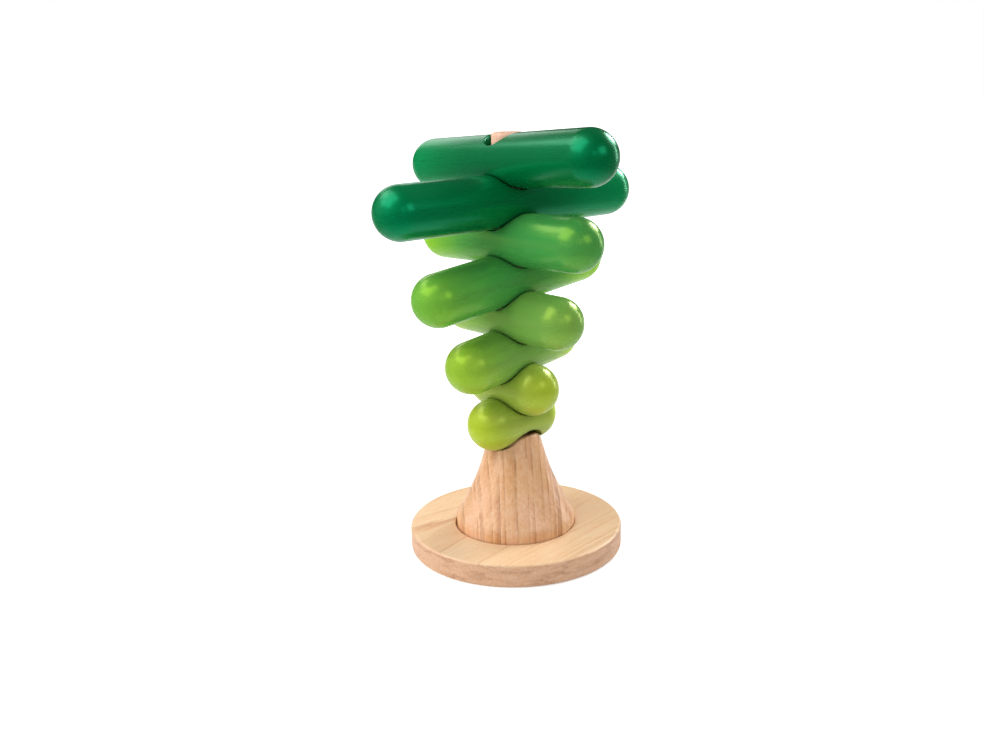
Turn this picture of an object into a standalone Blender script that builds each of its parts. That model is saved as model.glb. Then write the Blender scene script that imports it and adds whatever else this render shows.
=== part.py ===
"""Stacking tree toy: a turned stand with a rod, and eight crossed branches threaded on it.

Metres, +Z up. The origin is the centre of the underside of the base disc, and the
rod stands on the Z axis. Branches are numbered from the lowest to the highest.
"""
import math

import bmesh
import bpy
from mathutils import Matrix, Vector

MM = 0.001

# The saddle in the top of a branch is a little wider than the branch that lies in it, and
# cut deeper, so that this one stands clear of its floor
SADDLE_PLAY = 0.2 * MM
SADDLE_DEEPER = 0.65 * MM

# Base disc
DISC_RADIUS = 55.3 * MM
DISC_THICKNESS = 11.6 * MM
DISC_EDGE_RADIUS = 1.2 * MM
RECESS_DEPTH = 3.0 * MM
RECESS_GAP = 0.5 * MM

# Trunk: straight foot, a shoulder that turns in by two arcs, concave flare up to a
# narrow neck, rounded lip; shoulder angles in degrees from upright
FOOT_RADIUS = 31.0 * MM
FOOT_TOP = 15.0 * MM
SHOULDER_EDGE = 2.5 * MM
SHOULDER_EDGE_ANGLE = 16.0
SHOULDER_RADIUS = 12.0 * MM
FLARE_ANGLE = 31.8
NECK_RADIUS = 13.3 * MM
NECK_SLOPE = -0.22
NECK_HEIGHT = 60.5 * MM
LIP_HEIGHT = 61.8 * MM
LIP_ROUNDING = 2.0 * MM
# The hollow for branch 1 is wider than the branch and lies higher, so that it fits the
# belly closely at the bottom and stands clear of it towards the lip
HOLLOW_PLAY = 1.2 * MM
HOLLOW_HIGHER = 0.8 * MM
# A crest, round like a branch and cut flat at the lip, stands across the top of the trunk.
# The arch in the underside of branch 1 goes over it
CREST_HEIGHT = 49.3 * MM
ARCH_HEIGHT = 49.85 * MM
ARCH_PLAY = 0.85 * MM

# Rod
ROD_RADIUS = 8.0 * MM
ROD_TOP = 212.5 * MM
ROD_TOP_ROUNDING = 1.6 * MM
SOCKET_FLOOR = 34.0 * MM

# Branches
BRANCH_RADIUS = 13.25 * MM
BRANCH_PITCH = 18.74 * MM
FIRST_BRANCH_HEIGHT = 67.33 * MM
HOLE_RADIUS = 10.1 * MM
PAIR_LENGTHS = (54.0 * MM, 90.0 * MM, 120.0 * MM, 150.0 * MM)

# How each branch lies in the stack: turn about the rod and slope, in degrees, then
# how far its middle stands off the rod along the bar, and off its even step in height
BRANCH_LIE = (
    (44.7, -0.4, -1.0, 0.9),
    (-44.7, 0.3, 0.4, 0.1),
    (49.3, 3.7, 1.2, -0.8),
    (-46.2, -0.4, 0.0, -0.3),
    (42.4, 5.5, 0.3, -0.4),
    (-47.7, 1.7, -1.5, 0.1),
    (36.8, 0.2, -0.2, 0.1),
    (-53.4, 4.3, -1.5, 0.3),
)

# Facets
BRANCH_SIDES = 32
DOME_RINGS = 6
TURNED_SIDES = 56
SADDLE_SIDES = 40
HOLE_SIDES = 32


def clear_scene():
    for item in list(bpy.data.objects):
        bpy.data.objects.remove(item, do_unlink=True)


def make_material(name, colour, roughness):
    material = bpy.data.materials.new(name)
    material.use_nodes = True
    shader = material.node_tree.nodes["Principled BSDF"]
    shader.inputs["Base Color"].default_value = (colour[0], colour[1], colour[2], 1.0)
    shader.inputs["Roughness"].default_value = roughness
    shader.inputs["Metallic"].default_value = 0.0
    return material


def disc_wood_material():
    return make_material("disc_wood", (0.88, 0.66, 0.42), 0.45)


def trunk_wood_material():
    return make_material("trunk_wood", (0.75, 0.47, 0.27), 0.42)


def rod_wood_material():
    return make_material("rod_wood", (0.76, 0.50, 0.35), 0.55)


def lime_lacquer_material():
    return make_material("lime_lacquer", (0.42, 0.52, 0.04), 0.32)


def apple_lacquer_material():
    return make_material("apple_lacquer", (0.17, 0.36, 0.05), 0.32)


def leaf_lacquer_material():
    return make_material("leaf_lacquer", (0.08, 0.27, 0.04), 0.32)


def pine_lacquer_material():
    return make_material("pine_lacquer", (0.0, 0.21, 0.05), 0.32)


def new_object(name, mesh, material=None):
    item = bpy.data.objects.new(name, mesh)
    bpy.context.collection.objects.link(item)
    if material is not None:
        mesh.materials.append(material)
    return item


def mesh_from(bm, name):
    mesh = bpy.data.meshes.new(name)
    bmesh.ops.recalc_face_normals(bm, faces=bm.faces)
    bm.to_mesh(mesh)
    bm.free()
    mesh.shade_smooth()
    mesh.set_sharp_from_angle(angle=math.radians(35))
    return mesh


def turn_profile(name, profile, sides):
    """Spin an open profile of (radius, height) about Z, from the axis back to the axis."""
    bm = bmesh.new()
    points = [bm.verts.new((radius, 0.0, height)) for radius, height in profile]
    edges = [bm.edges.new((a, b)) for a, b in zip(points, points[1:])]
    bmesh.ops.spin(
        bm,
        geom=points + edges,
        cent=(0.0, 0.0, 0.0),
        axis=(0.0, 0.0, 1.0),
        angle=math.tau,
        steps=sides,
        use_merge=True,
        use_duplicate=False,
    )
    bmesh.ops.remove_doubles(bm, verts=bm.verts, dist=1e-6)
    return mesh_from(bm, name)


def quarter_arc(centre_radius, centre_height, size, start, end, steps):
    """Points along an arc of the profile, from the start angle to the end angle."""
    points = []
    for step in range(steps + 1):
        angle = math.radians(start + (end - start) * step / steps)
        radius = centre_radius + size * math.cos(angle)
        points.append((radius, centre_height + size * math.sin(angle)))
    return points


def mark_as_cutter(item):
    item.hide_render = True
    item.display_type = "WIRE"


def cut_with(item, cutter):
    step = item.modifiers.new("cut_" + cutter.name, "BOOLEAN")
    step.operation = "DIFFERENCE"
    step.solver = "EXACT"
    step.object = cutter


def upright_cutter(name, radius, low, high, x=0.0, y=0.0, sides=HOLE_SIDES):
    bm = bmesh.new()
    bmesh.ops.create_cone(
        bm,
        cap_ends=True,
        segments=sides,
        radius1=radius,
        radius2=radius,
        depth=high - low,
        matrix=Matrix.Translation((x, y, (low + high) / 2.0)),
    )
    item = new_object(name, mesh_from(bm, name))
    mark_as_cutter(item)
    return item


def branch_height(number):
    return FIRST_BRANCH_HEIGHT + (number - 1) * BRANCH_PITCH + BRANCH_LIE[number - 1][3] * MM


def branch_slide(number):
    return BRANCH_LIE[number - 1][2] * MM


def branch_turn(number):
    """Rotation that lays a bar, drawn along X, in its place in the stack."""
    turn, slope = BRANCH_LIE[number - 1][:2]
    return Matrix.Rotation(math.radians(turn), 4, "Z") @ Matrix.Rotation(math.radians(-slope), 4, "Y")


def bar_cutter(name, placement, radius):
    """A straight round bar that runs right across a branch, to cut a saddle or an arch."""
    bm = bmesh.new()
    along_x = Matrix.Rotation(math.radians(90.0), 4, "Y")
    bmesh.ops.create_cone(
        bm,
        cap_ends=True,
        segments=SADDLE_SIDES,
        radius1=radius,
        radius2=radius,
        depth=BRANCH_RADIUS * 3.4,
        matrix=placement @ along_x,
    )
    item = new_object(name, mesh_from(bm, name))
    mark_as_cutter(item)
    return item


def bar_placement(number):
    return Matrix.Translation((0.0, 0.0, branch_height(number))) @ branch_turn(number)


def saddle_placement(number, higher):
    """Where a saddle for a branch is cut: along its axis, but so much higher."""
    return Matrix.Translation((0.0, 0.0, higher)) @ bar_placement(number)


def across_first(height):
    """Level at one height, square across branch 1, as the trunk's crest and its arch lie."""
    square = Matrix.Rotation(math.radians(BRANCH_LIE[0][0] - 90.0), 4, "Z")
    return Matrix.Translation((0.0, 0.0, height)) @ square


def make_base_disc():
    edge = DISC_EDGE_RADIUS
    recess_radius = FOOT_RADIUS + RECESS_GAP
    profile = [(0.0, 0.0)]
    profile += quarter_arc(DISC_RADIUS - edge, edge, edge, -90.0, 0.0, 3)
    profile += quarter_arc(DISC_RADIUS - edge, DISC_THICKNESS - edge, edge, 0.0, 90.0, 3)
    profile += [
        (recess_radius, DISC_THICKNESS),
        (recess_radius, DISC_THICKNESS - RECESS_DEPTH),
        (0.0, DISC_THICKNESS - RECESS_DEPTH),
    ]
    mesh = turn_profile("base_disc", profile, 72)
    return new_object("base_disc", mesh, disc_wood_material())


def flare_radius(height, start_radius, start_height):
    """Concave flare: a cubic that leaves the shoulder at one slope and meets the neck at another."""
    span = NECK_HEIGHT - start_height
    part = (height - start_height) / span
    from_start = 2 * part**3 - 3 * part**2 + 1
    start_slope = part**3 - 2 * part**2 + part
    to_neck = 3 * part**2 - 2 * part**3
    neck_slope = part**3 - part**2
    curve = from_start * start_radius + to_neck * NECK_RADIUS
    lean = -math.tan(math.radians(FLARE_ANGLE))
    return curve + span * (start_slope * lean + neck_slope * NECK_SLOPE)


def trunk_profile():
    """Half outline of the turned trunk, from the middle of its underside up to the axis."""
    underside = DISC_THICKNESS - RECESS_DEPTH + 0.3 * MM
    profile = [(0.0, underside), (FOOT_RADIUS, underside)]
    edge = SHOULDER_EDGE
    profile += quarter_arc(FOOT_RADIUS - edge, FOOT_TOP, edge, 0.0, SHOULDER_EDGE_ANGLE, 2)
    edge_end = math.radians(SHOULDER_EDGE_ANGLE)
    centre_radius = profile[-1][0] - SHOULDER_RADIUS * math.cos(edge_end)
    centre_height = profile[-1][1] - SHOULDER_RADIUS * math.sin(edge_end)
    profile += quarter_arc(
        centre_radius, centre_height, SHOULDER_RADIUS, SHOULDER_EDGE_ANGLE, FLARE_ANGLE, 2
    )[1:]
    start_radius, start_height = profile[-1]
    steps = 12
    for step in range(1, steps + 1):
        height = start_height + (NECK_HEIGHT - start_height) * step / steps
        profile.append((flare_radius(height, start_radius, start_height), height))
    lip = LIP_ROUNDING
    profile += quarter_arc(NECK_RADIUS - lip, LIP_HEIGHT - lip, lip, 12.0, 90.0, 4)
    profile.append((0.0, LIP_HEIGHT))
    return profile


def make_trunk():
    mesh = turn_profile("trunk", trunk_profile(), TURNED_SIDES)
    trunk = new_object("trunk", mesh, trunk_wood_material())
    crest = bar_cutter("crest_keeper", across_first(CREST_HEIGHT), BRANCH_RADIUS)
    hollow_place = saddle_placement(1, HOLLOW_HIGHER)
    hollow = upright_bar_cutter("trunk_hollow", hollow_place, BRANCH_RADIUS + HOLLOW_PLAY)
    cut_with(hollow, crest)
    cut_with(trunk, hollow)
    cut_with(trunk, upright_cutter("rod_socket", ROD_RADIUS + 0.3 * MM, SOCKET_FLOOR, 0.09))
    return trunk


def upright_bar_cutter(name, placement, radius):
    """A crossing bar and everything straight above it, to clear the way for that bar."""
    bm = bmesh.new()
    half = BRANCH_RADIUS * 1.7
    outline = [(-radius, 2.0 * radius), (-radius, 0.0)]
    steps = SADDLE_SIDES // 2
    for step in range(1, steps):
        angle = math.pi + math.pi * step / steps
        outline.append((radius * math.cos(angle), radius * math.sin(angle)))
    outline += [(radius, 0.0), (radius, 2.0 * radius)]
    ring = [bm.verts.new(placement @ Vector((-half, y, z))) for y, z in outline]
    face = bm.faces.new(ring)
    grown = bmesh.ops.extrude_face_region(bm, geom=[face])
    moved = [part for part in grown["geom"] if isinstance(part, bmesh.types.BMVert)]
    along = placement.to_3x3() @ Vector((2.0 * half, 0.0, 0.0))
    bmesh.ops.translate(bm, verts=moved, vec=along)
    item = new_object(name, mesh_from(bm, name))
    mark_as_cutter(item)
    return item


def make_centre_rod():
    foot = SOCKET_FLOOR + 0.3 * MM
    edge = ROD_TOP_ROUNDING
    profile = [(0.0, foot), (ROD_RADIUS, foot)]
    profile += quarter_arc(ROD_RADIUS - edge, ROD_TOP - edge, edge, 0.0, 90.0, 4)
    profile.append((0.0, ROD_TOP))
    mesh = turn_profile("centre_rod", profile, 32)
    return new_object("centre_rod", mesh, rod_wood_material())


def bar_mesh(name, length, slide):
    """A round bar along X with half-ball ends, its middle moved along X by slide."""
    bm = bmesh.new()
    straight = length / 2.0 - BRANCH_RADIUS
    profile = quarter_arc(straight, 0.0, BRANCH_RADIUS, 0.0, 90.0, DOME_RINGS)
    profile += [(-along, across) for along, across in reversed(profile)]
    points = [bm.verts.new((slide + along, 0.0, max(across, 0.0))) for along, across in profile]
    edges = [bm.edges.new((a, b)) for a, b in zip(points, points[1:])]
    bmesh.ops.spin(
        bm,
        geom=points + edges,
        cent=(0.0, 0.0, 0.0),
        axis=(1.0, 0.0, 0.0),
        angle=math.tau,
        steps=BRANCH_SIDES,
        use_merge=True,
        use_duplicate=False,
    )
    bmesh.ops.remove_doubles(bm, verts=bm.verts, dist=1e-6)
    return mesh_from(bm, name)


def make_branch(number, material):
    name = "branch_%d" % number
    length = PAIR_LENGTHS[(number - 1) // 2]
    branch = new_object(name, bar_mesh(name, length, branch_slide(number)), material)
    branch.matrix_world = bar_placement(number)
    if number == 1:
        arch = bar_cutter(name + "_arch", across_first(ARCH_HEIGHT), BRANCH_RADIUS + ARCH_PLAY)
        cut_with(branch, arch)
    if number < len(BRANCH_LIE):
        place = saddle_placement(number + 1, -SADDLE_DEEPER)
        cut_with(branch, bar_cutter(name + "_saddle", place, BRANCH_RADIUS + SADDLE_PLAY))
    middle = branch_turn(number) @ Vector((branch_slide(number), 0.0, 0.0))
    low = branch_height(number) - 2.0 * BRANCH_RADIUS
    high = branch_height(number) + 2.0 * BRANCH_RADIUS
    cut_with(branch, upright_cutter(name + "_rod_hole", HOLE_RADIUS, low, high, middle.x, middle.y))
    return branch


def main():
    clear_scene()
    make_base_disc()
    make_trunk()
    make_centre_rod()
    greens = (
        lime_lacquer_material(),
        apple_lacquer_material(),
        leaf_lacquer_material(),
        pine_lacquer_material(),
    )
    for number in range(1, len(BRANCH_LIE) + 1):
        make_branch(number, greens[(number - 1) // 2])


main()
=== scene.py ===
"""Stacking tree toy: a turned wooden stand and eight green branches threaded on its rod.

The branches lie crosswise in saddles cut into one another, two of each length, and run
from lime at the trunk to pine green at the top. Lengths are in metres.
"""

import math

import bpy
import numpy as np
from mathutils import Matrix, Vector


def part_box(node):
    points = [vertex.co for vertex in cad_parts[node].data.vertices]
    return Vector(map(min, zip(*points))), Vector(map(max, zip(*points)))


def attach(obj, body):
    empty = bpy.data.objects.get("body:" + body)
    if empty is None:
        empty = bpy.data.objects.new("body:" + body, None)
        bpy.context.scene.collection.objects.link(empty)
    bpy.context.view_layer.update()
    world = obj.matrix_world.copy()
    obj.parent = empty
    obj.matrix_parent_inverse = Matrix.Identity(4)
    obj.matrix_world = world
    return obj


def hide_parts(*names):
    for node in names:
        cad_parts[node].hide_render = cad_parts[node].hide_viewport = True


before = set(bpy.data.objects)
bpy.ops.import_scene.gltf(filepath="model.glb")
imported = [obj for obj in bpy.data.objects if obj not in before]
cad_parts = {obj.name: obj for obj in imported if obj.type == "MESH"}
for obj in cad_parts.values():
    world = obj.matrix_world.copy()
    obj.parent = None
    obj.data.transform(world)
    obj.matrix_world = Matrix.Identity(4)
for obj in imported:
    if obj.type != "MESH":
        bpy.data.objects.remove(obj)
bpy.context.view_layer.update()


# Base disc
# A round slab cut from a plank of pale rubberwood and turned on a lathe, with eased
# edges. A shallow recess in its top takes the foot of the trunk, which is glued in.

mm = 0.001
disc_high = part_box("base_disc")[1]
disc_radius = disc_high.x
disc_thickness = disc_high.z
disc_edge = 1.3 * mm
foot_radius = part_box("trunk")[1].x
recess_radius = foot_radius + 0.5 * mm
recess_floor = disc_thickness - 3.0 * mm
recess_edge = 0.35 * mm
recess_shift = 0.33 * mm
recess_fade = 3.0 * mm


def arc(centre, radius, start, end, count=24):
    """Points of a circle: centre plus radius times cosine and sine of an angle that runs
    evenly from start to end, in degrees."""
    angle = np.radians(np.linspace(start, end, count))
    circle = np.stack([np.cos(angle), np.sin(angle)], axis=1)
    return np.array(centre) + radius * circle


def spread(lines, count, bend):
    """Re-spaces the points of each line evenly by its length plus its turning: each radian
    that a line turns counts as bend more metres, so rounded edges keep enough points."""
    for turning_counts, wanted in ((0.0, 6 * count), (bend, count)):
        step = np.diff(lines, axis=1)
        heading = np.unwrap(np.arctan2(step[..., 1], step[..., 0]), axis=1)
        turning = np.abs(np.diff(heading, axis=1, prepend=heading[:, :1]))
        travel = np.cumsum(np.hypot(step[..., 0], step[..., 1]) + turning_counts * turning, axis=1)
        travel = np.pad(travel / travel[:, -1:], ((0, 0), (1, 0)))
        shelf = 2.0 * np.arange(len(lines))[:, None]
        places = (np.linspace(0.0, 1.0, wanted) + shelf).ravel()
        reached = (travel + shelf).ravel()
        columns = [np.interp(places, reached, lines[..., k].ravel()) for k in (0, 1)]
        lines = np.stack(columns, axis=-1).reshape(len(lines), wanted, 2)
    return lines


def skin(name, grid, tips=()):
    """Closed mesh over a grid of points. The first direction goes round and closes on
    itself. So does the second, as on a ring, unless tips gives the two points on the axis
    where a fan of triangles closes each end. Faces are turned to enclose a positive
    volume, so that they point outwards."""
    rows, columns = grid.shape[:2]
    here = np.arange(rows * columns).reshape(rows, columns)
    beside = np.roll(here, -1, axis=0)
    quads = np.stack(
        [here, beside, np.roll(beside, -1, axis=1), np.roll(here, -1, axis=1)], axis=-1,
    )
    points = grid.reshape(-1, 3)
    fans = np.zeros((0, 3), dtype=int)
    if len(tips):
        quads = quads[:, :-1]
        points = np.concatenate([points, np.array(tips)])
        first = np.full(rows, len(points) - 2)
        last = np.full(rows, len(points) - 1)
        start_fan = np.stack([here[:, 0], first, beside[:, 0]], axis=1)
        end_fan = np.stack([here[:, -1], beside[:, -1], last], axis=1)
        fans = np.concatenate([start_fan, end_fan])
    quads = quads.reshape(-1, 4)
    middle = points.mean(axis=0)
    a, b, c, d = (points[quads[:, k]] - middle for k in range(4))
    volume = np.einsum("ij,ij->", np.cross(a, b), c) + np.einsum("ij,ij->", np.cross(a, c), d)
    if volume < 0.0:
        quads = quads[:, ::-1]
        fans = fans[:, ::-1]
    corners = np.concatenate([quads.ravel(), fans.ravel()])
    starts = np.concatenate([4 * np.arange(len(quads)), 4 * len(quads) + 3 * np.arange(len(fans))])
    mesh = bpy.data.meshes.new(name)
    mesh.vertices.add(len(points))
    mesh.vertices.foreach_set("co", points.astype(np.float32).ravel())
    mesh.loops.add(len(corners))
    mesh.loops.foreach_set("vertex_index", corners.astype(np.int32))
    mesh.polygons.add(len(starts))
    mesh.polygons.foreach_set("loop_start", starts.astype(np.int32))
    mesh.update(calc_edges=True)
    mesh.validate()
    mesh.shade_smooth()
    piece = bpy.data.objects.new(name, mesh)
    bpy.context.collection.objects.link(piece)
    return piece


def turned(name, profile, sides, count, bend=2.0 * mm):
    """A profile of radius and height carried once round the Z axis: radius times cosine
    and sine of the angle, and the height unchanged. Its ends lie on the axis."""
    line = spread(profile[None], count, bend)[0]
    angle = np.linspace(0.0, math.tau, sides, endpoint=False)[:, None]
    inner = line[1:-1]
    x = inner[:, 0] * np.cos(angle)
    y = inner[:, 0] * np.sin(angle)
    z = np.broadcast_to(inner[:, 1], x.shape)
    tips = [(0.0, 0.0, line[0, 1]), (0.0, 0.0, line[-1, 1])]
    return skin(name, np.stack([x, y, z], axis=-1), tips)


disc_outline = np.concatenate([
    [(0.0, 0.0)],
    arc((disc_radius - disc_edge, disc_edge), disc_edge, -90.0, 0.0),
    arc((disc_radius - disc_edge, disc_thickness - disc_edge), disc_edge, 0.0, 90.0),
    arc((recess_radius + recess_edge, disc_thickness - recess_edge), recess_edge, 90.0, 180.0, 10),
    [(recess_radius, recess_floor), (0.0, recess_floor)],
])
disc = turned("base_disc_turned", disc_outline, 256, 160)
# The recess was bored a third of a millimetre to the left of the middle, so that the gap
# beside the trunk shows there: its points move over, and the move fades out around it
disc_points = np.empty(3 * len(disc.data.vertices), dtype=np.float32)
disc.data.vertices.foreach_get("co", disc_points)
disc_points = disc_points.reshape(-1, 3)
off_recess = (np.hypot(disc_points[:, 0], disc_points[:, 1]) - recess_radius) / recess_fade
fading = np.clip(1.0 - off_recess, 0.0, 1.0) * (disc_points[:, 2] > disc_thickness / 2.0)
disc_points[:, 0] -= recess_shift * fading
disc.data.vertices.foreach_set("co", disc_points.ravel())


def paint(code):
    """Linear colour of an sRGB hex code."""
    channels = np.array([int(code[k:k + 2], 16) for k in (1, 3, 5)]) / 255.0
    low = channels / 12.92
    high = ((channels + 0.055) / 1.055) ** 2.4
    return (*np.where(channels <= 0.04045, low, high).tolist(), 1.0)


def node(tree, kind, links=None, **settings):
    """Adds a node, sets its properties, and fills its inputs from other nodes' outputs or
    from plain values. Colour ramps take their stops, as places and hex codes, as stops."""
    made = tree.nodes.new(kind)
    stops = settings.pop("stops", ())
    for key, value in settings.items():
        setattr(made, key, value)
    for key, value in (links or {}).items():
        if isinstance(value, bpy.types.NodeSocket):
            tree.links.new(value, made.inputs[key])
        else:
            made.inputs[key].default_value = value
    while stops and len(made.color_ramp.elements) < len(stops):
        made.color_ramp.elements.new(0.5)
    for k, (place, code) in enumerate(stops):
        made.color_ramp.elements[k].position = place
        made.color_ramp.elements[k].color = paint(code)
    return made


def wood(name, tones, ring_spacing, heart, lie, rosy, rosiness, roughness, mottling=0.05,
         lacquer_ior=1.55, cut_end=None, painted_top_shade=None):
    """Hardwood under clear satin lacquer. tones runs from the early to the late wood of one
    growth ring, heart is where the middle of the tree lay, and lie turns the grain, which
    runs along the pattern's X. The eye sees lines of uneven width where the rings meet the
    surface, rosy patches, fine fibre streaks, mottled gloss and short dark pores. mottling
    is how far the mottles differ in tone. cut_end is the rim's tone and that of its
    streaks, and the last argument is the dark tone of painted shade laid on the cut end-grain
    faces that an attribute picks out."""
    material = bpy.data.materials.new(name)
    material.use_nodes = True
    tree = material.node_tree
    shader = tree.nodes["Principled BSDF"]
    place = node(tree, "ShaderNodeTexCoord")
    board = node(
        tree, "ShaderNodeMapping",
        {"Vector": place.outputs["Object"], "Location": heart, "Rotation": lie},
        vector_type="TEXTURE",
    ).outputs["Vector"]
    # The rings wander by two or three millimetres over a few centimetres of the tree
    long_way = node(
        tree, "ShaderNodeMapping", {"Vector": board, "Scale": (0.12, 1.0, 1.0)},
    ).outputs["Vector"]
    sway = node(
        tree, "ShaderNodeTexNoise",
        {"Vector": long_way, "Scale": 1.0 / (22.0 * mm), "Detail": 4.0, "Roughness": 0.5},
    ).outputs["Color"]
    sway = node(tree, "ShaderNodeVectorMath", {0: sway, 1: (0.5, 0.5, 0.5)}, operation="SUBTRACT")
    sway = node(
        tree, "ShaderNodeVectorMath", {0: sway.outputs[0], "Scale": 5.0 * mm}, operation="SCALE",
    )
    swayed = node(
        tree, "ShaderNodeVectorMath", {0: board, 1: sway.outputs[0]}, operation="ADD",
    ).outputs[0]
    # Ring number: distance from the heart in ring spacings, made uneven by a noise of it
    across = node(
        tree, "ShaderNodeVectorMath", {0: swayed, 1: (0.0, 1.0, 1.0)}, operation="MULTIPLY",
    )
    depth = node(
        tree, "ShaderNodeVectorMath", {0: across.outputs[0]}, operation="LENGTH",
    ).outputs["Value"]
    number = node(
        tree, "ShaderNodeMath", {0: depth, 1: ring_spacing}, operation="DIVIDE",
    ).outputs[0]
    uneven = node(
        tree, "ShaderNodeTexNoise", {"W": number, "Scale": 0.6, "Detail": 1.0},
        noise_dimensions="1D",
    ).outputs["Fac"]
    uneven = node(
        tree, "ShaderNodeMath", {0: uneven, 1: 2.6, 2: number}, operation="MULTIPLY_ADD",
    ).outputs[0]
    within = node(tree, "ShaderNodeMath", {0: uneven}, operation="FRACT").outputs[0]
    ringed = node(tree, "ShaderNodeValToRGB", {"Fac": within}, stops=tones).outputs["Color"]
    # Some rings are faint: their line fades into the tone between the lines
    strength = node(
        tree, "ShaderNodeTexNoise", {"Vector": long_way, "Scale": 1.0 / (7.0 * mm), "Detail": 1.0},
    ).outputs["Fac"]
    strength = node(
        tree, "ShaderNodeMapRange",
        {"Value": strength, "From Min": 0.34, "From Max": 0.6, "To Min": 0.15, "To Max": 1.0},
    ).outputs["Result"]
    ringed = node(
        tree, "ShaderNodeMix", {"Factor": strength, "A": paint(tones[0][1]), "B": ringed},
        data_type="RGBA",
    ).outputs["Result"]
    patch = node(
        tree, "ShaderNodeTexNoise",
        {"Vector": long_way, "Scale": 1.0 / (11.0 * mm), "Detail": 2.0, "Roughness": 0.5},
    ).outputs["Fac"]
    patch = node(
        tree, "ShaderNodeMapRange",
        {"Value": patch, "From Min": 0.38, "From Max": 0.66, "To Max": rosiness},
    ).outputs["Result"]
    toned = node(
        tree, "ShaderNodeMix", {"Factor": patch, "A": ringed, "B": paint(rosy)}, data_type="RGBA",
    ).outputs["Result"]
    if cut_end:
        # The turned rim cuts across the fibres, drinks more lacquer and looks pinker, with
        # streaks 2 mm wide where the rings run along it
        edge_way = node(tree, "ShaderNodeMapping", {"Vector": swayed, "Scale": (0.18, 0.18, 1.0)})
        edge_streaks = node(
            tree, "ShaderNodeTexNoise",
            {"Vector": edge_way.outputs["Vector"], "Scale": 1.0 / (2.4 * mm), "Detail": 3.0,
             "Roughness": 0.65, "Distortion": 0.6},
        ).outputs["Fac"]
        edge_streaks = node(
            tree, "ShaderNodeMapRange",
            {"Value": edge_streaks, "From Min": 0.48, "From Max": 0.7, "To Max": 0.85},
        ).outputs["Result"]
        edge_tone = node(
            tree, "ShaderNodeMix",
            {"Factor": edge_streaks, "A": paint(cut_end[0]), "B": paint(cut_end[1])},
            data_type="RGBA",
        ).outputs["Result"]
        normal = node(tree, "ShaderNodeSeparateXYZ", {"Vector": place.outputs["Normal"]})
        upright = node(tree, "ShaderNodeMath", {0: normal.outputs["Z"]}, operation="ABSOLUTE")
        rim = node(
            tree, "ShaderNodeMapRange",
            {"Value": upright.outputs[0], "From Min": 0.35, "From Max": 0.9,
             "To Min": 0.85, "To Max": 0.0},
        ).outputs["Result"]
        toned = node(
            tree, "ShaderNodeMix", {"Factor": rim, "A": toned, "B": edge_tone}, data_type="RGBA",
        ).outputs["Result"]
    if painted_top_shade:
        # Painted shade: the cut end-grain faces, where the attribute picks them out, take a dark
        # tone that stands for the shade in the gap under branch 1
        top_shade_mask = node(tree, "ShaderNodeAttribute", attribute_name="painted_top_shade").outputs["Fac"]
        toned = node(
            tree, "ShaderNodeMix", {"Factor": top_shade_mask, "A": toned, "B": paint(painted_top_shade)},
            data_type="RGBA",
        ).outputs["Result"]
    # Fibres about 0.6 mm apart and 15 mm long, a mottle of 1.2 mm where the grain rises and
    # dips under the lacquer, and pores 0.25 mm wide and 2 mm long
    fibre_way = node(
        tree, "ShaderNodeMapping", {"Vector": swayed, "Scale": (0.05, 1.0, 1.0)},
    ).outputs["Vector"]
    fibres = node(
        tree, "ShaderNodeTexNoise",
        {"Vector": fibre_way, "Scale": 1.0 / (1.3 * mm), "Detail": 4.0, "Roughness": 0.62},
    ).outputs["Fac"]
    fibre_shade = node(
        tree, "ShaderNodeMapRange",
        {"Value": fibres, "From Min": 0.32, "From Max": 0.68, "To Min": 0.9, "To Max": 1.06},
    ).outputs["Result"]
    mottle_way = node(
        tree, "ShaderNodeMapping", {"Vector": board, "Scale": (0.4, 1.0, 1.0)},
    ).outputs["Vector"]
    mottle = node(
        tree, "ShaderNodeTexNoise",
        {"Vector": mottle_way, "Scale": 1.0 / (1.2 * mm), "Detail": 2.0, "Roughness": 0.7},
    ).outputs["Fac"]
    mottle_shade = node(
        tree, "ShaderNodeMapRange",
        {"Value": mottle, "From Min": 0.3, "From Max": 0.7,
         "To Min": 1.0 - mottling, "To Max": 1.0 + mottling},
    ).outputs["Result"]
    pore_way = node(
        tree, "ShaderNodeMapping", {"Vector": swayed, "Scale": (0.12, 1.0, 1.0)},
    ).outputs["Vector"]
    pores = node(
        tree, "ShaderNodeTexNoise",
        {"Vector": pore_way, "Scale": 1.0 / (0.5 * mm), "Detail": 1.0, "Roughness": 0.4},
    ).outputs["Fac"]
    pore_shade = node(
        tree, "ShaderNodeMapRange",
        {"Value": pores, "From Min": 0.26, "From Max": 0.36, "To Min": 0.78, "To Max": 1.0},
    ).outputs["Result"]
    shade = node(tree, "ShaderNodeMath", {0: fibre_shade, 1: pore_shade}, operation="MULTIPLY")
    shade = node(
        tree, "ShaderNodeMath", {0: shade.outputs[0], 1: mottle_shade}, operation="MULTIPLY",
    ).outputs[0]
    # Darker marks are also redder: the tone is raised to a power that grows with them
    power = node(
        tree, "ShaderNodeMapRange",
        {"Value": shade, "From Min": 0.6, "From Max": 1.2, "To Min": 1.8, "To Max": 0.7},
    ).outputs["Result"]
    colour = node(tree, "ShaderNodeGamma", {"Color": toned, "Gamma": power}).outputs["Color"]
    tree.links.new(colour, shader.inputs["Base Color"])
    gloss = node(
        tree, "ShaderNodeMapRange",
        {"Value": mottle, "From Min": 0.3, "From Max": 0.7,
         "To Min": roughness + 0.1, "To Max": roughness - 0.08},
    ).outputs["Result"]
    tree.links.new(gloss, shader.inputs["Roughness"])
    relief = node(
        tree, "ShaderNodeBump",
        {"Height": shade, "Strength": 0.42, "Distance": 0.2 * mm},
    ).outputs["Normal"]
    tree.links.new(relief, shader.inputs["Normal"])
    shader.inputs["IOR"].default_value = lacquer_ior
    return material


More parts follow.
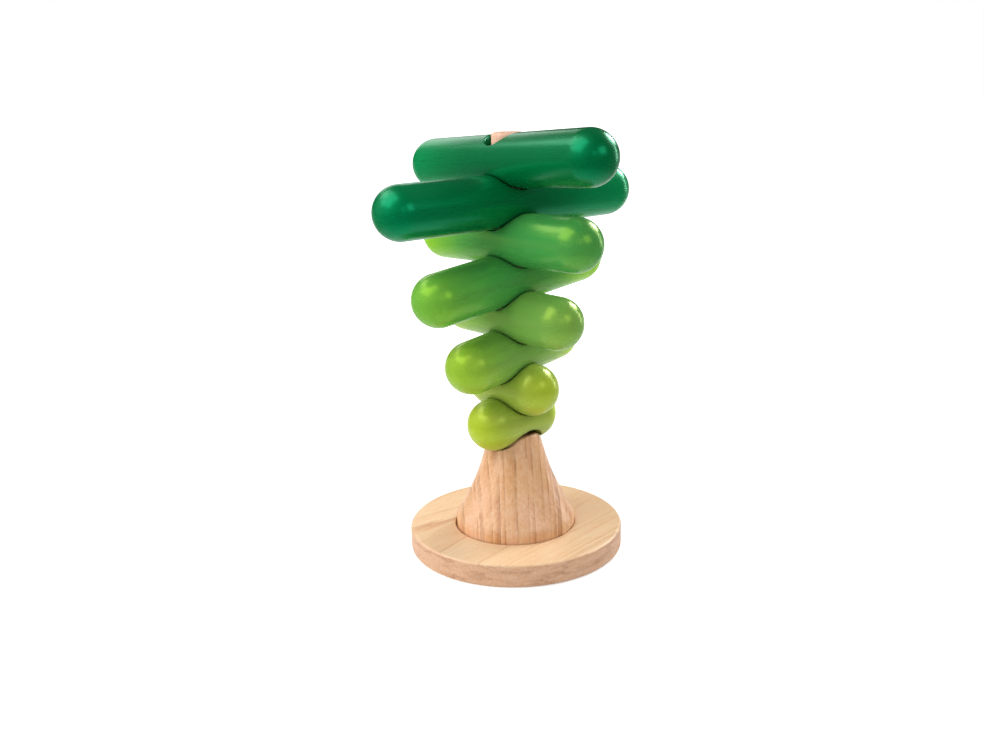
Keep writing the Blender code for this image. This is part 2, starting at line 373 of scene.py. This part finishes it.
# Rubberwood: pale straw colour. The plank was sawn flat, far from the heart, so its rings
# meet the top in a few faint wavy lines and run along the rim
disc_wood = wood(
    "disc_rubberwood",
    tones=(
        (0.0, "#F1D1AC"), (0.6, "#EECBA4"), (0.88, "#E9C096"), (0.94, "#DBAC84"),
        (1.0, "#F1D1AC"),
    ),
    ring_spacing=3.2 * mm,
    heart=(-0.014, 0.014, -0.1),
    lie=(0.0, math.radians(1.6), math.radians(46.0)),
    rosy="#F2CBA4",
    rosiness=0.55,
    roughness=0.4,
    lacquer_ior=1.62,
    cut_end=("#DCB08E", "#B68262"),
)
disc.data.materials.append(disc_wood)
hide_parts("base_disc")
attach(disc, "stand")


# Trunk
# One block of reddish hardwood with upright grain, turned to a flared cone. Its top has a
# hollow for the belly of branch 1, with a low crest across it that the arch in that branch
# goes over, and a blind hole that holds the rod.

branch_radius = 13.16 * mm
branch_pitch = 18.74 * mm
first_height = 67.33 * mm
lip_height = 61.8 * mm
crest_height = 49.35 * mm
# How each branch lies in the stack, from the lowest: its turn about the rod and its slope,
# in degrees, then how far its middle stands off the rod along it, and off its even step
branch_lies = (
    (44.7, -0.4, -1.0 * mm, 0.9 * mm),
    (-44.7, 0.3, 0.4 * mm, 0.1 * mm),
    (49.3, 3.7, 1.2 * mm, -0.8 * mm),
    (-46.2, -0.4, 0.0 * mm, -0.3 * mm),
    (42.4, 5.5, 0.3 * mm, -0.4 * mm),
    (-47.7, 1.7, -1.5 * mm, 0.1 * mm),
    (36.8, 0.2, -0.2 * mm, 0.1 * mm),
    (-53.4, 4.3, -1.5 * mm, 0.3 * mm),
)


def bar_line(number):
    """Where the axis of a branch passes the rod, and the direction in which it runs."""
    turn, slope, _, lift = branch_lies[number - 1]
    turn, slope = math.radians(turn), math.radians(slope)
    flat = math.cos(slope)
    return (
        np.array((0.0, 0.0, first_height + (number - 1) * branch_pitch + lift)),
        np.array((flat * math.cos(turn), flat * math.sin(turn), math.sin(slope))),
    )


def off_axis(points, number, half_length=1.0):
    """Distance of points from a branch's axis, or from its middle stretch of half_length
    each way: the length of what is left of a point after its part along the axis, and that
    part is held within the stretch."""
    centre, direction = bar_line(number)
    away = points - centre - direction * branch_lies[number - 1][2]
    along = np.clip(away @ direction, -half_length, half_length)
    return np.linalg.norm(away - along[..., None] * direction, axis=-1)


def off_cross_line(points, height):
    """Distance of points from the level line at a height that crosses the rod square to
    branch 1: the trunk's crest and the arch over it lie round such lines."""
    turn = math.radians(branch_lies[0][0])
    aside = points[..., 0] * math.cos(turn) + points[..., 1] * math.sin(turn)
    return np.hypot(aside, points[..., 2] - height)


def round_meet(first, second, radius):
    """Signed distance to what two solids share, with the edge where they meet rounded: the
    larger of the two distances, and near the edge the length of both, less the radius."""
    over = np.hypot(np.maximum(first + radius, 0.0), np.maximum(second + radius, 0.0))
    return np.minimum(np.maximum(first, second), -radius) + over


def on_planes(centre, azimuth, radius, height):
    """World points of places in the upright half-planes that leave an upright axis at each
    azimuth: centre plus radius times cosine and sine of the azimuth, and the height."""
    x = centre[0] + radius * np.cos(azimuth)[:, None]
    y = centre[1] + radius * np.sin(azimuth)[:, None]
    return np.stack([x, y, np.broadcast_to(height, x.shape)], axis=-1)


def outline(centre, azimuth, start, heading, solid, furthest):
    """Where rays leave a solid: each ray starts inside it, in one of the half-planes, and
    the stretch in which the solid's signed distance turns positive is halved 24 times."""
    near = np.zeros(heading.shape[:2])
    far = np.full(heading.shape[:2], furthest)
    for _ in range(24):
        middle = (near + far) / 2.0
        radius = start[..., 0] + middle * heading[..., 0]
        height = start[..., 1] + middle * heading[..., 1]
        outside = solid(on_planes(centre, azimuth, radius, height)) > 0.0
        far = np.where(outside, middle, far)
        near = np.where(outside, near, middle)
    return start + far[..., None] * heading


trunk_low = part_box("trunk")[0].z
foot_top = 15.0 * mm
foot_bottom_edge = 0.4 * mm
shoulder_edge = 2.5 * mm
shoulder_edge_angle = 16.0
shoulder_radius = 12.0 * mm
flare_angle = 31.8
neck_radius = 13.3 * mm
neck_height = 60.5 * mm
neck_slope = -0.22
lip_rounding = 1.8 * mm
hollow_play = 1.2 * mm
hollow_higher = 0.8 * mm
hollow_edge = 0.9 * mm
socket_radius = 8.3 * mm
socket_floor = 34.0 * mm
socket_edge = 0.4 * mm

shoulder_start = arc(
    (foot_radius - shoulder_edge, foot_top), shoulder_edge, 0.0, shoulder_edge_angle, 12,
)
edge_end = math.radians(shoulder_edge_angle)
edge_way = np.array((math.cos(edge_end), math.sin(edge_end)))
shoulder_centre = shoulder_start[-1] - shoulder_radius * edge_way
shoulder_end = arc(shoulder_centre, shoulder_radius, shoulder_edge_angle, flare_angle, 16)
flare_start = shoulder_end[-1]


def flare_radius(height):
    """Radius of the flare at a height: the cubic that leaves the shoulder at its slope and
    meets the neck at the neck's slope, and goes on straight above the neck."""
    span = neck_height - flare_start[1]
    part = np.clip((height - flare_start[1]) / span, 0.0, 1.0)
    to_neck = 3 * part**2 - 2 * part**3
    radius = (2 * part**3 - 3 * part**2 + 1) * flare_start[0] + to_neck * neck_radius
    start_lean = (part**3 - 2 * part**2 + part) * -math.tan(math.radians(flare_angle))
    end_lean = (part**3 - part**2) * neck_slope
    above_neck = np.maximum(height - neck_height, 0.0)
    return radius + span * (start_lean + end_lean) + neck_slope * above_neck


def trunk_top(points):
    """Signed distance, near its top, to the trunk: the flare under its rounded lip, less
    the way of branch 1 from its belly upwards, but with the round crest kept, and less the
    hole for the rod."""
    from_axis = np.hypot(points[..., 0], points[..., 1])
    height = points[..., 2]
    cone = round_meet(from_axis - flare_radius(height), height - lip_height, lip_rounding)
    centre, direction = bar_line(1)
    hollow_points = points - (0.0, 0.0, hollow_higher)
    hollow_points[..., 2] = np.minimum(hollow_points[..., 2], centre[2])
    belly = off_axis(hollow_points, 1) - branch_radius - hollow_play
    crest = off_cross_line(points, crest_height) - branch_radius
    cut = round_meet(cone, np.minimum(-belly, crest), hollow_edge)
    return round_meet(cut, socket_radius - from_axis, socket_edge)


# In each half-plane the top's outline is found by rays that fan out, from the axis over to
# the flare, from one point of a ring inside the trunk. Below the ring it is the flare's own
trunk_azimuth = np.linspace(0.0, math.tau, 288, endpoint=False)
fan_height = 48.0 * mm
fan_radius = 11.0 * mm
fan_angle = np.radians(np.linspace(180.0, 0.0, 720))
fan = np.stack([np.cos(fan_angle), np.sin(fan_angle)], axis=-1)
fan = fan[None].repeat(len(trunk_azimuth), axis=0)
fan_start = np.broadcast_to(np.array((fan_radius, fan_height)), fan.shape)
trunk_head = outline((0.0, 0.0), trunk_azimuth, fan_start, fan, trunk_top, 24.0 * mm)
flare_heights = np.linspace(fan_height, flare_start[1], 60)[1:]
trunk_socket = np.array([(0.0, socket_floor), (socket_radius, socket_floor)])
trunk_skirt = np.concatenate([
    np.stack([flare_radius(flare_heights), flare_heights], axis=1),
    shoulder_end[::-1][1:],
    shoulder_start[::-1][1:],
    arc(
        (foot_radius - foot_bottom_edge, trunk_low + foot_bottom_edge), foot_bottom_edge,
        0.0, -90.0, 8,
    ),
    [(0.0, trunk_low)],
])
trunk_lines = np.concatenate([
    trunk_socket[None].repeat(len(trunk_azimuth), axis=0),
    trunk_head,
    trunk_skirt[None].repeat(len(trunk_azimuth), axis=0),
], axis=1)
trunk_lines = spread(trunk_lines, 260, 4.0 * mm)
trunk_grid = on_planes((0.0, 0.0), trunk_azimuth, trunk_lines[..., 0], trunk_lines[..., 1])[:, 1:-1]
trunk = skin("trunk_turned", trunk_grid, [(0.0, 0.0, socket_floor), (0.0, 0.0, trunk_low)])
# Painted shade on the cut top faces starts a little inside the turned outline and is fully
# dark further in, so that the gap under branch 1 looks dark
top_shade_start = 0.6 * mm
top_shade_fade = 1.4 * mm
inset = flare_radius(trunk_grid[..., 2]) - np.hypot(trunk_grid[..., 0], trunk_grid[..., 1])
top_shade_part = np.clip((inset - top_shade_start) / top_shade_fade, 0.0, 1.0)
top_shade_attribute = trunk.data.attributes.new("painted_top_shade", "FLOAT", "POINT")
top_shade_attribute.data.foreach_set("value", np.append(top_shade_part.ravel(), (1.0, 1.0)).astype(np.float32))

# Reddish hardwood whose rings run edge on to the front, so that they show as upright lines
trunk_wood = wood(
    "trunk_hardwood",
    tones=((0.0, "#E8BA8C"), (0.5, "#DFAA77"), (0.8, "#D2965E"), (0.95, "#AC7038")),
    ring_spacing=4.4 * mm,
    heart=(-0.16, -0.03, 0.0),
    lie=(0.0, math.radians(-90.0), 0.0),
    rosy="#ECC0A0",
    rosiness=0.6,
    roughness=0.34,
    mottling=0.1,
    lacquer_ior=1.75,
    # The dark tone on the cut top faces inside the lip is painted shade
    painted_top_shade="#6A4226",
)
trunk.data.materials.append(trunk_wood)
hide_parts("trunk")
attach(trunk, "stand")


# Centre rod
# A sanded hardwood dowel, glued into the trunk. Its top edge is rounded over so that the
# branches drop on easily, and it is left bare of paint.

rod_low, rod_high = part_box("centre_rod")
rod_radius = rod_high.x
rod_edge = 1.6 * mm
rod_outline = np.concatenate([
    [(0.0, rod_low.z), (rod_radius, rod_low.z)],
    arc((rod_radius - rod_edge, rod_high.z - rod_edge), rod_edge, 0.0, 90.0),
    [(0.0, rod_high.z)],
])
rod = turned("centre_rod_turned", rod_outline, 128, 150)
rod_wood = wood(
    "rod_hardwood",
    tones=((0.0, "#ECC4AA"), (0.5, "#EABFA4"), (0.85, "#E6BA9E"), (0.96, "#E0B296")),
    ring_spacing=3.5 * mm,
    heart=(-0.06, 0.0, 0.0),
    lie=(0.0, math.radians(-90.0), 0.0),
    rosy="#EEC6AE",
    rosiness=0.6,
    roughness=0.5,
    mottling=0.03,
)
rod.data.materials.append(rod_wood)
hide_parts("centre_rod")
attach(rod, "stand")


# Branches
# Eight round bars of hardwood with ball ends, two of each length. Each has an upright hole
# for the rod and, all but the top one, a saddle for the next. All edges are sanded round,
# and the bars are sprayed with green satin lacquer.

pair_lengths = (53.7 * mm, 89.7 * mm, 119.75 * mm, 149.75 * mm)
hole_radius = 10.1 * mm
hole_edge = 0.8 * mm
saddle_edge = 0.4 * mm
arch_edge = 0.6 * mm
# How far the painted shade in the creases beside the neighbours reaches
crease_shade_reach = 1.6 * mm
saddle_play = 0.2 * mm
saddle_deeper = 0.28 * mm
arch_height = 49.92 * mm
arch_play = 1.05 * mm
# How soon the front end of each branch, from the lowest, turns to its fresher tone, partly
# painted light: the even branches' front ends face away from the light and turn least
front_fresh_and_lit = (1.0, 0.8, 1.0, 0.3, 1.0, 0.3, 1.0, 0.3)


def branch_solid(points, number, half_straight, middle):
    """Signed distance to a branch: a bar with ball ends, less the upright hole, and less the
    saddle for the branch above, which is cut deeper than that branch lies. Branch 1 also
    has an arch in its underside, which goes over the trunk's crest."""
    bar = off_axis(points, number, half_straight) - branch_radius
    if number == 1:
        arch = branch_radius + arch_play - off_cross_line(points, arch_height)
        bar = round_meet(bar, arch, arch_edge)
    if number < len(branch_lies):
        off_next = off_axis(points + (0.0, 0.0, saddle_deeper), number + 1)
        bar = round_meet(bar, branch_radius + saddle_play - off_next, saddle_edge)
    aside = np.hypot(points[..., 0] - middle[0], points[..., 1] - middle[1])
    return round_meet(bar, hole_radius - aside, hole_edge)


def branch_skin(number):
    """The branch as a ring round its hole. Half-planes leave the hole's axis at azimuths
    spaced by the length of the bar's outline seen from above. In each of them rays fan out
    towards the hole, stand upright along the bar's middle and fan out round its far end,
    and the points where they leave the solid make one closed line."""
    length = pair_lengths[(number - 1) // 2]
    passing, direction = bar_line(number)
    middle = passing + direction * branch_lies[number - 1][2]
    half_straight = length / 2.0 - branch_radius
    flat = math.hypot(direction[0], direction[1])
    half_flat = half_straight * flat
    # Lines round the hole, and points on each of them: more of both on a longer branch
    rows = int(170 + 1.25 * length / mm)
    columns = int(120 + 0.65 * length / mm)

    # Outline of the bar seen from above, as its distance from the middle at each azimuth
    fine = np.linspace(0.0, math.tau, 7201)
    sine, cosine = np.abs(np.sin(fine)), np.abs(np.cos(fine))
    at_ball = sine * half_flat < cosine * branch_radius
    ball = half_flat * cosine + np.sqrt(np.maximum(branch_radius**2 - (half_flat * sine) ** 2, 0.0))
    rim = np.where(at_ball, ball, branch_radius / np.maximum(sine, 1e-9))
    seen = np.stack([rim * np.cos(fine), rim * np.sin(fine)], axis=1)
    travel = np.cumsum(np.linalg.norm(np.diff(seen, axis=0), axis=1) + 10.0 * mm * np.diff(fine))
    travel = np.concatenate([[0.0], travel])
    across = np.interp(np.linspace(0.0, travel[-1], rows, endpoint=False), travel, fine)
    far_rim = np.interp(across, fine, rim)[:, None]
    azimuth = across + math.atan2(direction[1], direction[0])
    climb = np.cos(across)[:, None] * direction[2] / flat

    # The rays fan out from one point near the hole and from one near the far rim
    upright_rays, hole_rays, far_rays = 260, 220, 300
    room = far_rim - hole_radius
    inner = hole_radius + np.minimum(3.5 * mm, 0.45 * room)
    outer = far_rim - np.minimum(0.9 * branch_radius, 0.45 * room)
    part = np.linspace(0.0, 1.0, upright_rays)[None]
    turn_up = np.radians(np.linspace(180.0, 90.0, hole_rays, endpoint=False))[None]
    turn_over = np.radians(np.linspace(90.0, -90.0, far_rays))[None]
    turn_down = np.radians(np.linspace(-90.0, -180.0, hole_rays + 1))[None, 1:]
    one = np.ones((rows, 1))
    start_radius = np.concatenate([
        inner * np.ones_like(turn_up), inner + (outer - inner) * part[:, :-1],
        outer * np.ones_like(turn_over), outer + (inner - outer) * part[:, 1:],
        inner * np.ones_like(turn_down),
    ], axis=1)
    angle = np.concatenate([
        one * turn_up, np.full((rows, part.size - 1), math.pi / 2.0),
        one * turn_over, np.full((rows, part.size - 1), -math.pi / 2.0), one * turn_down,
    ], axis=1)
    start = np.stack([start_radius, middle[2] + start_radius * climb], axis=-1)
    heading = np.stack([np.cos(angle), np.sin(angle)], axis=-1)

    def solid(points):
        return branch_solid(points, number, half_straight, middle)

    lines = outline(middle[:2], azimuth, start, heading, solid, 1.3 * branch_radius)
    lines = spread(lines, columns + 1, 4.0 * mm)[:, :-1]
    grid = on_planes(middle[:2], azimuth, lines[..., 0], lines[..., 1])
    piece = skin("branch_%d_shaped" % number, grid)
    # Painted shade in the creases, by how deep a point lies in them: 1 at a neighbour's surface,
    # and less by a factor of e for each reach length, set above, that it lies off it
    if number > 1:
        below = off_axis(grid, number - 1)
    else:
        below = off_cross_line(grid, arch_height) - arch_play
    above = off_axis(grid, number + 1) if number < len(branch_lies) else below
    off_neighbour = np.minimum(below, above)
    depth = np.exp(-np.maximum(off_neighbour - branch_radius, 0.0) / crease_shade_reach)
    painted_crease_shade = piece.data.attributes.new("painted_crease_shade", "FLOAT", "POINT")
    painted_crease_shade.data.foreach_set("value", depth.astype(np.float32).ravel())
    return piece


def lacquer(name, number, body, front_end, back_end, streak_and_painted_shade, sheen):
    """Green satin lacquer sprayed over sanded hardwood. The eye sees an even colour that is fuller
    in the middle and fresher towards the ends, partly where the wood shines through more and
    partly painted light: the back ends take a brighter tone, painted light on the lit left ends
    of the even branches, and the front ends of the even branches, which face away from the
    light, are less fresh. It is darker with painted shade in the creases beside the neighbours,
    with faint streaks and pores of the grain along the bar. Its pigment tints the soft
    highlights, but for the white ones at a grazing view."""
    material = bpy.data.materials.new(name)
    material.use_nodes = True
    tree = material.node_tree
    shader = tree.nodes["Principled BSDF"]
    passing = bar_line(number)[0]
    turn, slope = (math.radians(angle) for angle in branch_lies[number - 1][:2])
    place = node(tree, "ShaderNodeTexCoord")
    bar = node(
        tree, "ShaderNodeMapping",
        {"Vector": place.outputs["Object"], "Location": tuple(passing),
         "Rotation": (0.0, -slope, turn)},
        vector_type="TEXTURE",
    ).outputs["Vector"]
    half_length = pair_lengths[(number - 1) // 2] / 2.0
    along = node(tree, "ShaderNodeSeparateXYZ", {"Vector": bar}).outputs["X"]
    to_back = 1.0 if number % 2 else -1.0
    to_front = -to_back * front_fresh_and_lit[number - 1]
    backward = node(tree, "ShaderNodeMath", {0: along, 1: to_back}, operation="MULTIPLY").outputs[0]
    forward = node(tree, "ShaderNodeMath", {0: along, 1: to_front}, operation="MULTIPLY").outputs[0]
    outward = node(
        tree, "ShaderNodeMath", {0: backward, 1: forward}, operation="MAXIMUM",
    ).outputs[0]
    # The fresher tone, partly the lacquer's own and partly painted light on the lit ends, comes in
    # from 12 mm off the middle to the end, and a cloudy noise shifts it by up to 12 mm either way
    sway = 24.0 * mm
    cloud = node(
        tree, "ShaderNodeTexNoise", {"Vector": bar, "Scale": 1.0 / (30.0 * mm), "Detail": 1.0},
    ).outputs["Fac"]
    drift = node(
        tree, "ShaderNodeMath", {0: cloud, 1: sway, 2: outward}, operation="MULTIPLY_ADD",
    ).outputs[0]
    fresh_and_lit = node(
        tree, "ShaderNodeMapRange",
        {"Value": drift, "From Min": sway, "From Max": half_length + sway / 2.0},
        interpolation_type="SMOOTHSTEP",
    ).outputs["Result"]
    at_back = node(
        tree, "ShaderNodeMapRange",
        {"Value": backward, "From Min": -10.0 * mm, "From Max": 10.0 * mm},
    ).outputs["Result"]
    ends = node(
        tree, "ShaderNodeMix", {"Factor": at_back, "A": paint(front_end), "B": paint(back_end)},
        data_type="RGBA",
    ).outputs["Result"]
    coloured = node(
        tree, "ShaderNodeMix", {"Factor": fresh_and_lit, "A": paint(body), "B": ends}, data_type="RGBA",
    ).outputs["Result"]
    # Grain lines about 1.2 mm apart show through the film as faint darker streaks, and
    # the pores of the wood as dashes 0.3 mm wide and 4 mm long
    grain_way = node(
        tree, "ShaderNodeMapping", {"Vector": bar, "Scale": (0.05, 1.0, 1.0)},
    ).outputs["Vector"]
    grain = node(
        tree, "ShaderNodeTexNoise",
        {"Vector": grain_way, "Scale": 1.0 / (1.6 * mm), "Detail": 3.0, "Roughness": 0.55},
    ).outputs["Fac"]
    streak = node(
        tree, "ShaderNodeMapRange",
        {"Value": grain, "From Min": 0.4, "From Max": 0.75, "To Max": 0.13},
    ).outputs["Result"]
    pore_way = node(
        tree, "ShaderNodeMapping", {"Vector": bar, "Scale": (0.08, 1.0, 1.0)},
    ).outputs["Vector"]
    pores = node(
        tree, "ShaderNodeTexNoise", {"Vector": pore_way, "Scale": 1.0 / (0.7 * mm), "Detail": 1.0},
    ).outputs["Fac"]
    pore = node(
        tree, "ShaderNodeMapRange",
        {"Value": pores, "From Min": 0.3, "From Max": 0.22, "To Max": 0.35},
    ).outputs["Result"]
    # Painted shade: near the neighbours the colour darkens towards the same dark tone as the grain
    # streaks and pores
    painted_crease_shade = node(tree, "ShaderNodeAttribute", attribute_name="painted_crease_shade").outputs["Fac"]
    painted_crease_shade = node(tree, "ShaderNodeMath", {0: painted_crease_shade, 1: 0.6}, operation="MULTIPLY").outputs[0]
    grain_and_painted_shade = node(tree, "ShaderNodeMath", {0: streak, 1: pore}, operation="ADD").outputs[0]
    grain_and_painted_shade = node(tree, "ShaderNodeMath", {0: grain_and_painted_shade, 1: painted_crease_shade}, operation="MAXIMUM").outputs[0]
    with_grain_and_painted_shade = node(
        tree, "ShaderNodeMix", {"Factor": grain_and_painted_shade, "A": coloured, "B": paint(streak_and_painted_shade)},
        data_type="RGBA",
    ).outputs["Result"]
    tree.links.new(with_grain_and_painted_shade, shader.inputs["Base Color"])
    gloss = node(
        tree, "ShaderNodeMapRange",
        {"Value": grain, "From Min": 0.3, "From Max": 0.7, "To Min": 0.24, "To Max": 0.28},
    ).outputs["Result"]
    tree.links.new(gloss, shader.inputs["Roughness"])
    ripple = node(
        tree, "ShaderNodeTexNoise", {"Vector": bar, "Scale": 1.0 / (2.5 * mm), "Detail": 1.0},
    ).outputs["Fac"]
    relief = node(
        tree, "ShaderNodeMath", {0: grain, 1: 0.5, 2: ripple}, operation="MULTIPLY_ADD",
    ).outputs[0]
    bump = node(
        tree, "ShaderNodeBump", {"Height": relief, "Strength": 0.1, "Distance": 0.1 * mm},
    ).outputs["Normal"]
    tree.links.new(bump, shader.inputs["Normal"])
    shader.inputs["IOR"].default_value = 2.0
    shader.inputs["Specular Tint"].default_value = paint(sheen)
    return material


# Body, front end, back end, the dark tone of grain streaks and painted crease shade, and
# highlight tint of each pair. The brighter end tones are partly painted light, and the pine's
# back end is raised partly as a painted highlight
greens = (
    ("#9BB246", "#AEC52C", "#C6DE1C", "#647E34", "#ECFF80"),
    ("#76AA4E", "#94BE34", "#B2DA18", "#487838", "#E0FF5C"),
    ("#42994A", "#70B43E", "#98D824", "#296C3A", "#D0FF44"),
    ("#006634", "#007440", "#008848", "#004424", "#30FFB8"),
)
for number in range(1, len(branch_lies) + 1):
    pair = (number - 1) // 2
    branch = branch_skin(number)
    branch.data.materials.append(lacquer("branch_%d_lacquer" % number, number, *greens[pair]))
    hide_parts("branch_%d" % number)
    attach(branch, "lift_%d" % number)


# Studio
# A white floor, a surround that is brightest high on the left front, and ten lamps: three
# only light the toy, five are only seen mirrored in it as soft patches and thin lines, and
# the two on the right behind do both and draw its bright rims.

floor_mesh = bpy.data.meshes.new("floor")
floor_half = 6.0
floor_drop = -0.1 * mm
floor_mesh.from_pydata(
    [(x * floor_half, y * floor_half, floor_drop) for x, y in ((-1, -1), (1, -1), (1, 1), (-1, 1))],
    [], [(0, 1, 2, 3)],
)
floor = bpy.data.objects.new("floor", floor_mesh)
bpy.context.collection.objects.link(floor)
floor_paint = bpy.data.materials.new("white_floor")
floor_paint.use_nodes = True
floor_tree = floor_paint.node_tree
floor_shader = floor_tree.nodes["Principled BSDF"]
floor_shader.inputs["Roughness"].default_value = 0.9
floor_shader.inputs["Emission Color"].default_value = (1.0, 1.0, 1.0, 1.0)
# The floor's own glow, which only the camera sees, keeps the soft shadow near the toy and
# turns to plain white further out
floor_place = node(floor_tree, "ShaderNodeTexCoord").outputs["Object"]
floor_distance = node(floor_tree, "ShaderNodeVectorMath", {0: floor_place}, operation="LENGTH")
shadow_end = 0.08
floor_glow = node(
    floor_tree, "ShaderNodeMapRange",
    {"Value": floor_distance.outputs["Value"], "From Min": shadow_end, "From Max": 0.5,
     "To Min": 0.42, "To Max": 1.0},
).outputs["Result"]
rays = node(floor_tree, "ShaderNodeLightPath")
floor_glow = node(
    floor_tree, "ShaderNodeMath", {0: rays.outputs["Is Camera Ray"], 1: floor_glow},
    operation="MULTIPLY",
).outputs[0]
floor_tree.links.new(floor_glow, floor_shader.inputs["Emission Strength"])
# In reflections the floor is white near and behind the toy, so that it draws thin bright
# lines along the undersides, and dim elsewhere, so that it lays no veil over the sides
floor_way = node(floor_tree, "ShaderNodeVectorMath", {0: floor_place}, operation="NORMALIZE")
behind = node(
    floor_tree, "ShaderNodeVectorMath", {0: floor_way.outputs[0], 1: (0.0, 1.0, 0.0)},
    operation="DOT_PRODUCT",
).outputs["Value"]
aside = node(
    floor_tree, "ShaderNodeMapRange", {"Value": behind, "From Min": 0.92, "From Max": 0.5},
).outputs["Result"]
further = node(
    floor_tree, "ShaderNodeMapRange",
    {"Value": floor_distance.outputs["Value"], "From Min": shadow_end, "From Max": 0.35,
     "To Max": aside},
).outputs["Result"]
floor_dim = node(
    floor_tree, "ShaderNodeMath", {0: rays.outputs["Is Glossy Ray"], 1: further},
    operation="MULTIPLY",
).outputs[0]
floor_white = node(
    floor_tree, "ShaderNodeMix",
    {"Factor": floor_dim, "A": paint("#E9E9E9"), "B": paint("#484848")}, data_type="RGBA",
).outputs["Result"]
floor_tree.links.new(floor_white, floor_shader.inputs["Base Color"])
floor_mesh.materials.append(floor_paint)

world = bpy.data.worlds.new("studio")
bpy.context.scene.world = world
world.use_nodes = True
sky = world.node_tree
background = sky.nodes["Background"]
# The surround is plain white to the camera. It lights the toy most from high on the left
# front, and in reflections it is dark but for a glow there
bright_way = (-0.7, -0.38, 0.6)
way = node(sky, "ShaderNodeTexCoord").outputs["Generated"]
toward = node(
    sky, "ShaderNodeVectorMath", {0: way, 1: bright_way}, operation="DOT_PRODUCT",
).outputs["Value"]
glow = node(
    sky, "ShaderNodeMapRange",
    {"Value": toward, "From Min": -0.4, "From Max": 1.0, "To Min": 0.32, "To Max": 0.95},
).outputs["Result"]
mirrored = node(
    sky, "ShaderNodeMapRange",
    {"Value": toward, "From Min": 0.5, "From Max": 1.0, "To Min": 0.04, "To Max": 0.55},
).outputs["Result"]
rays = node(sky, "ShaderNodeLightPath")
glow = node(
    sky, "ShaderNodeMix",
    {"Factor": rays.outputs["Is Glossy Ray"], "A": glow, "B": mirrored}, data_type="FLOAT",
).outputs["Result"]
strength = node(
    sky, "ShaderNodeMix", {"Factor": rays.outputs["Is Camera Ray"], "A": glow, "B": 1.0},
    data_type="FLOAT",
).outputs["Result"]
sky.links.new(strength, background.inputs["Strength"])
background.inputs["Color"].default_value = (1.0, 1.0, 1.0, 1.0)

toy_middle = Vector((0.0, 0.0, 0.12))


def softbox(name, place, width, height, power, shades=True, mirrored=True):
    """A flat lamp that faces the middle of the toy. Without shades it is left out of the
    shading of dull surfaces, and without mirrored out of the reflections."""
    lamp = bpy.data.lights.new(name, "AREA")
    lamp.shape = "RECTANGLE"
    lamp.size, lamp.size_y = width, height
    lamp.energy = power
    holder = bpy.data.objects.new(name, lamp)
    holder.location = place
    holder.rotation_mode = "QUATERNION"
    holder.rotation_quaternion = (toy_middle - Vector(place)).to_track_quat("-Z", "Y")
    holder.visible_diffuse = shades
    holder.visible_glossy = mirrored
    bpy.context.collection.objects.link(holder)


# Each lamp's place, width and height in metres, and its power in watts
softbox("key_left", (-0.66, -0.36, 0.86), 0.7, 0.7, 4.5, mirrored=False)
softbox("bounce_left", (-0.95, 0.17, 0.2), 0.5, 0.3, 2.1, mirrored=False)
softbox("bounce_right", (0.95, -0.1, 0.2), 0.5, 0.3, 0.5, mirrored=False)
softbox("window_left", (-0.6, -0.27, 0.95), 0.95, 0.95, 5.2, shades=False)
softbox("window_left_behind", (-0.64, 0.34, 0.86), 0.46, 0.4, 1.2, shades=False)
softbox("window_behind", (-0.3, 0.86, 0.54), 0.5, 0.3, 0.7, shades=False)
softbox("lamp_right_behind", (0.6, 0.62, 0.62), 0.28, 0.28, 4.4)
softbox("lamp_right_strip", (0.88, 0.45, 0.45), 0.09, 0.9, 2.1)
softbox("window_right_front", (0.66, -0.59, 0.61), 0.45, 0.4, 1.0, shades=False)
softbox("window_front", (0.27, -0.94, 0.55), 0.3, 0.34, 0.25, shades=False)

camera_data = bpy.data.cameras.new("camera")
camera_data.sensor_width = 36.0
camera_data.lens = 39.15
camera_data.clip_start = 0.01
camera = bpy.data.objects.new("camera", camera_data)
bpy.context.collection.objects.link(camera)
camera_place = (0.0, -0.52426, 0.24198)
camera_heading, camera_dip, camera_roll = (math.radians(angle) for angle in (1.145, 15.69, -1.523))
camera.matrix_world = (
    Matrix.Translation(camera_place)
    @ Matrix.Rotation(camera_heading, 4, "Z")
    @ Matrix.Rotation(math.pi / 2.0 - camera_dip, 4, "X")
    @ Matrix.Rotation(camera_roll, 4, "Z")
)
bpy.context.scene.camera = camera
bpy.context.scene.view_settings.view_transform = "Standard"
